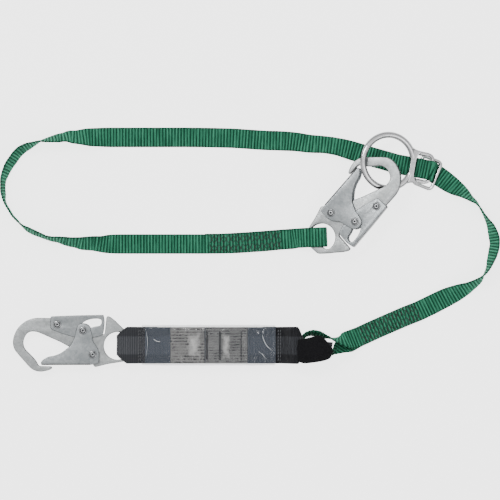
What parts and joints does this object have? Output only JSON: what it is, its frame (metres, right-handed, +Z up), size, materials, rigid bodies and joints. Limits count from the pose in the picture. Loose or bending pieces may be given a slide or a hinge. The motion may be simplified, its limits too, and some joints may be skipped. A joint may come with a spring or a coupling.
{
  "type": "shock absorbing lanyard",
  "caption": "Webbing lanyard with a tear-webbing shock pack in a clear sleeve, self-locking snap hooks at both ends and a floating tie-back ring with a keeper link.",
  "frame": {"origin": "centre of the laid-out hardware and pack, on the surface it lies on", "axes": "+X from the pack hook towards the free bend of the strap, along the shock pack; +Z up from the surface; +Y towards the tie-back ring"},
  "size_m": [0.6, 0.294, 0.0363],
  "materials": {
    "zinc_steel": "matte galvanised",
    "polished_steel": "polished",
    "spring_steel": "satin",
    "strap_webbing": "ribbed woven polyester",
    "black_webbing": "woven",
    "pad_fabric": "plain woven",
    "tear_webbing": "woven",
    "clear_sleeve": "clear gloss",
    "label_stock": "satin"
  },
  "bodies": {
    "root": {"lanyard_strap": "strap_webbing", "front_web_loop": "black_webbing", "rear_web_loop": "black_webbing", "wear_pad": "pad_fabric", "tear_webbing": "tear_webbing", "rating_label": "label_stock", "inspection_booklet": "label_stock", "shrink_sleeve": "clear_sleeve"},
    "pack_hook": {"pack_hook_body": "zinc_steel", "pack_hook_gate_rivet": "zinc_steel", "pack_hook_lock_rivet": "zinc_steel"},
    "pack_hook_gate": {"pack_hook_gate": "zinc_steel", "pack_hook_latch_rivet": "zinc_steel", "pack_hook_gate_spring": "spring_steel"},
    "pack_hook_lock": {"pack_hook_lock_lever": "zinc_steel", "pack_hook_lock_spring": "spring_steel"},
    "strap_hook": {"strap_hook_body": "zinc_steel", "strap_hook_gate_rivet": "zinc_steel", "strap_hook_lock_rivet": "zinc_steel"},
    "strap_hook_gate": {"strap_hook_gate": "zinc_steel", "strap_hook_latch_rivet": "zinc_steel", "strap_hook_gate_spring": "spring_steel"},
    "strap_hook_lock": {"strap_hook_lock_lever": "zinc_steel", "strap_hook_lock_spring": "spring_steel"},
    "ring": {"tie_back_ring": "polished_steel"},
    "keeper": {"keeper_link": "polished_steel"}
  },
  "joints": [
    {"name": "pack_hook_swing", "type": "hinge", "parent": "root", "child": "pack_hook", "pos_m": [-0.1193, -0.11207, 0.0088], "axis": [0, 1, 0], "range_deg": [0, 60]},
    {"name": "pack_hook_gate_open", "type": "hinge", "parent": "pack_hook", "child": "pack_hook_gate", "pos_m": [-0.162, -0.12307, 0.0088], "axis": [0, 0, -1], "range_deg": [0, 24], "stiffness_Nm_per_rad": 0.12, "springref_deg": -14.32},
    {"name": "pack_hook_lock_press", "type": "hinge", "parent": "pack_hook", "child": "pack_hook_lock", "pos_m": [-0.2046, -0.08697, 0.0088], "axis": [0, 0, -1], "range_deg": [0, 11.2], "stiffness_Nm_per_rad": 0.12, "springref_deg": -11.46},
    {"name": "strap_hook_swing", "type": "hinge", "parent": "root", "child": "strap_hook", "pos_m": [0.1068, 0.01733, 0.0095], "axis": [0, -1, 0], "range_deg": [-0.25, 0.4]},
    {"name": "strap_hook_gate_open", "type": "hinge", "parent": "strap_hook", "child": "strap_hook_gate", "pos_m": [0.12542, 0.04653, 0.01442], "axis": [0.2406, -0.0403, -0.9698], "range_deg": [0, 2], "stiffness_Nm_per_rad": 0.12, "springref_deg": -14.32},
    {"name": "strap_hook_lock_press", "type": "hinge", "parent": "strap_hook", "child": "strap_hook_lock", "pos_m": [0.17914, 0.05446, 0.02742], "axis": [0.2406, -0.0403, -0.9698], "range_deg": [0, 1.2], "stiffness_Nm_per_rad": 0.12, "springref_deg": -11.46},
    {"name": "ring_slide", "type": "slide", "parent": "root", "child": "ring", "axis": [0.9848, -0.1736, 0], "range_m": [-0.001, 0.001], "deforming": ["lanyard_strap"]},
    {"name": "keeper_tilt", "type": "hinge", "parent": "ring", "child": "keeper", "pos_m": [0.22888, 0.09989, 0.0022], "axis": [-0.3746, -0.9272, 0], "range_deg": [0, 5]}
  ],
  "couplings": [
    {"joint": "pack_hook_lock_press", "follows": "pack_hook_gate_open", "ratio": 0.45833},
    {"joint": "strap_hook_lock_press", "follows": "strap_hook_gate_open", "ratio": 0.45833}
  ]
}
